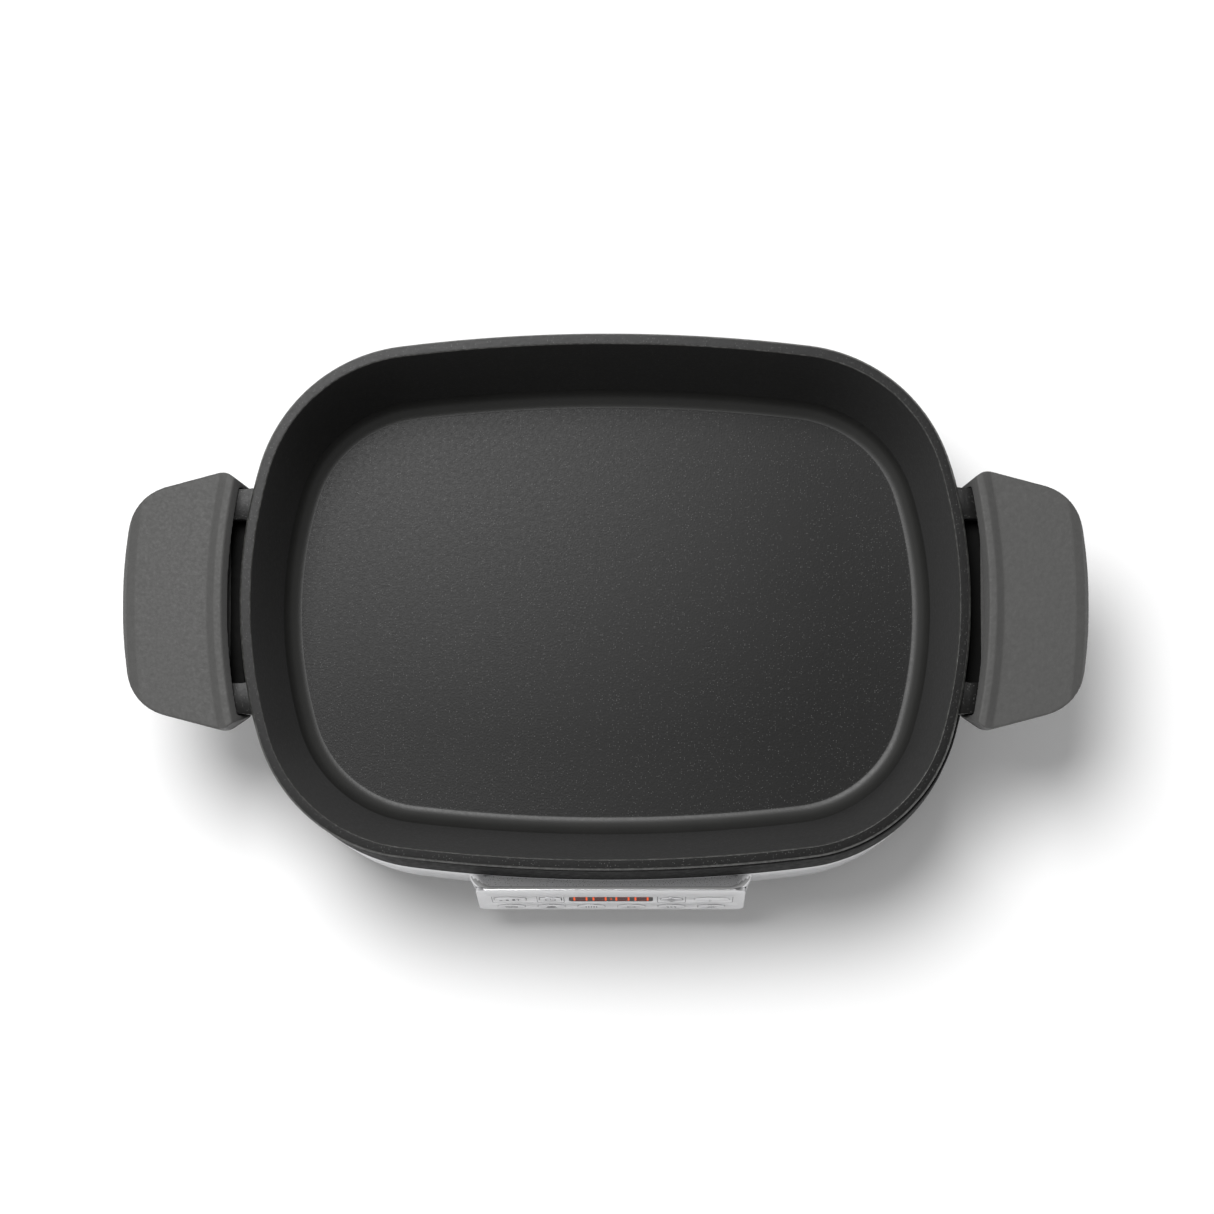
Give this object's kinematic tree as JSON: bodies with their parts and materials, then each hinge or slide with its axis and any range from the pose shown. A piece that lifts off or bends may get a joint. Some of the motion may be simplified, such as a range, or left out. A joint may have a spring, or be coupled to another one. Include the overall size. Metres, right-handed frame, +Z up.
{
  "type": "electric griddle",
  "caption": "Electric griddle and multi-cooker: a lift-out rounded rectangular non-stick pan with sleeve grips, on a heated base with a key panel and display.",
  "frame": {"origin": "centre of the footprint, at the bottom of the rubber feet", "axes": "+Z up, +X towards the right grip, +Y to the rear; the control panel faces -Y"},
  "size_m": [0.4586, 0.286, 0.141],
  "materials": {
    "pan": "die-cast, coated with a dark matte non-stick layer",
    "grip": "moulded silicone, matte warm grey",
    "black_shell": "fine matte black",
    "shell_steel": "brushed stainless sheet",
    "cover_black": "matte black",
    "foot": "soft black rubber",
    "screw": "zinc-plated steel",
    "liner": "plain aluminised sheet",
    "plate": "cast and faced",
    "element": "oxidised tubular element",
    "insulator": "unglazed",
    "sensor": "plain drawn cap",
    "brass": "plain",
    "inlet": "matte black",
    "board": "green circuit board",
    "relay": "blue case",
    "transformer": "tape-wrapped winding",
    "capacitor": "plain",
    "terminal": "plain",
    "panel_silver": "satin silver paint on moulded plastic",
    "display": "dark red tinted window",
    "key": "satin silver paint on moulded plastic, with a fine grey outline",
    "wire": "brown insulated leads",
    "sleeve_wire": "glass-fibre sleeved leads",
    "ribbon": "grey cores"
  },
  "bodies": {
    "base": {"top_collar": "black_shell", "outer_shell": "shell_steel", "base_skirt": "black_shell", "base_cover": "cover_black", "rubber_feet": "foot", "cover_screws": "screw", "inner_liner": "liner", "heating_plate": "plate", "heating_element": "element", "plate_clamps": "liner", "plate_nuts": "screw", "element_insulators": "insulator", "sensor_spring": "screw", "sensor_bracket": "liner", "thermal_fuse": "brass", "fuse_clip": "liner", "heat_shield": "liner", "shield_posts": "cover_black", "power_inlet": "inlet", "inlet_pins": "brass", "power_board": "board", "relay": "relay", "transformer": "transformer", "filter_capacitor": "capacitor", "relay_heat_sink": "plate", "terminal_block": "terminal", "board_screws": "screw", "control_housing": "panel_silver", "fascia": "panel_silver", "display_window": "display", "display_module": "inlet", "control_board": "board", "tact_switches": "inlet", "mains_wires": "wire", "heater_wires": "sleeve_wire", "ribbon_cable": "ribbon"},
    "pan": {"pan_casting": "pan"},
    "left_grip": {"left_grip": "grip"},
    "right_grip": {"right_grip": "grip"},
    "sensor_cap": {"sensor_cap": "sensor"},
    "level_key": {"level_key": "key"},
    "timer_key": {"timer_key": "key"},
    "up_key": {"up_key": "key"},
    "down_key": {"down_key": "key"},
    "start_key": {"start_key": "key"},
    "program_key_1": {"program_key_1": "key"},
    "program_key_2": {"program_key_2": "key"},
    "program_key_3": {"program_key_3": "key"},
    "program_key_4": {"program_key_4": "key"},
    "program_key_5": {"program_key_5": "key"},
    "program_key_6": {"program_key_6": "key"}
  },
  "joints": [
    {"name": "pan_lift", "type": "slide", "parent": "base", "child": "pan", "axis": [0, 0, 1], "range_m": [0, 0.15]},
    {"name": "left_grip_pull", "type": "slide", "parent": "pan", "child": "left_grip", "axis": [-1, 0, 0], "range_m": [0, 0.06]},
    {"name": "right_grip_pull", "type": "slide", "parent": "pan", "child": "right_grip", "axis": [1, 0, 0], "range_m": [0, 0.06]},
    {"name": "sensor_press", "type": "slide", "parent": "base", "child": "sensor_cap", "axis": [0, 0, 1], "range_m": [-0.003, 0], "stiffness_N_per_m": 400, "springref_m": 0.004, "deforming": ["sensor_spring"]},
    {"name": "level_key_press", "type": "slide", "parent": "base", "child": "level_key", "axis": [0, 0.9778, -0.2096], "range_m": [0, 0.0006], "stiffness_N_per_m": 800, "springref_m": -0.0005},
    {"name": "timer_key_press", "type": "slide", "parent": "base", "child": "timer_key", "axis": [0, 0.9778, -0.2096], "range_m": [0, 0.0006], "stiffness_N_per_m": 800, "springref_m": -0.0005},
    {"name": "up_key_press", "type": "slide", "parent": "base", "child": "up_key", "axis": [0, 0.9778, -0.2096], "range_m": [0, 0.0006], "stiffness_N_per_m": 800, "springref_m": -0.0005},
    {"name": "down_key_press", "type": "slide", "parent": "base", "child": "down_key", "axis": [0, 0.9778, -0.2096], "range_m": [0, 0.0006], "stiffness_N_per_m": 800, "springref_m": -0.0005},
    {"name": "start_key_press", "type": "slide", "parent": "base", "child": "start_key", "axis": [0, 0.9778, -0.2096], "range_m": [0, 0.0006], "stiffness_N_per_m": 800, "springref_m": -0.0005},
    {"name": "program_key_1_press", "type": "slide", "parent": "base", "child": "program_key_1", "axis": [0, 0.9778, -0.2096], "range_m": [0, 0.0006], "stiffness_N_per_m": 800, "springref_m": -0.0005},
    {"name": "program_key_2_press", "type": "slide", "parent": "base", "child": "program_key_2", "axis": [0, 0.9778, -0.2096], "range_m": [0, 0.0006], "stiffness_N_per_m": 800, "springref_m": -0.0005},
    {"name": "program_key_3_press", "type": "slide", "parent": "base", "child": "program_key_3", "axis": [0, 0.9778, -0.2096], "range_m": [0, 0.0006], "stiffness_N_per_m": 800, "springref_m": -0.0005},
    {"name": "program_key_4_press", "type": "slide", "parent": "base", "child": "program_key_4", "axis": [0, 0.9778, -0.2096], "range_m": [0, 0.0006], "stiffness_N_per_m": 800, "springref_m": -0.0005},
    {"name": "program_key_5_press", "type": "slide", "parent": "base", "child": "program_key_5", "axis": [0, 0.9778, -0.2096], "range_m": [0, 0.0006], "stiffness_N_per_m": 800, "springref_m": -0.0005},
    {"name": "program_key_6_press", "type": "slide", "parent": "base", "child": "program_key_6", "axis": [0, 0.9778, -0.2096], "range_m": [0, 0.0006], "stiffness_N_per_m": 800, "springref_m": -0.0005}
  ]
}
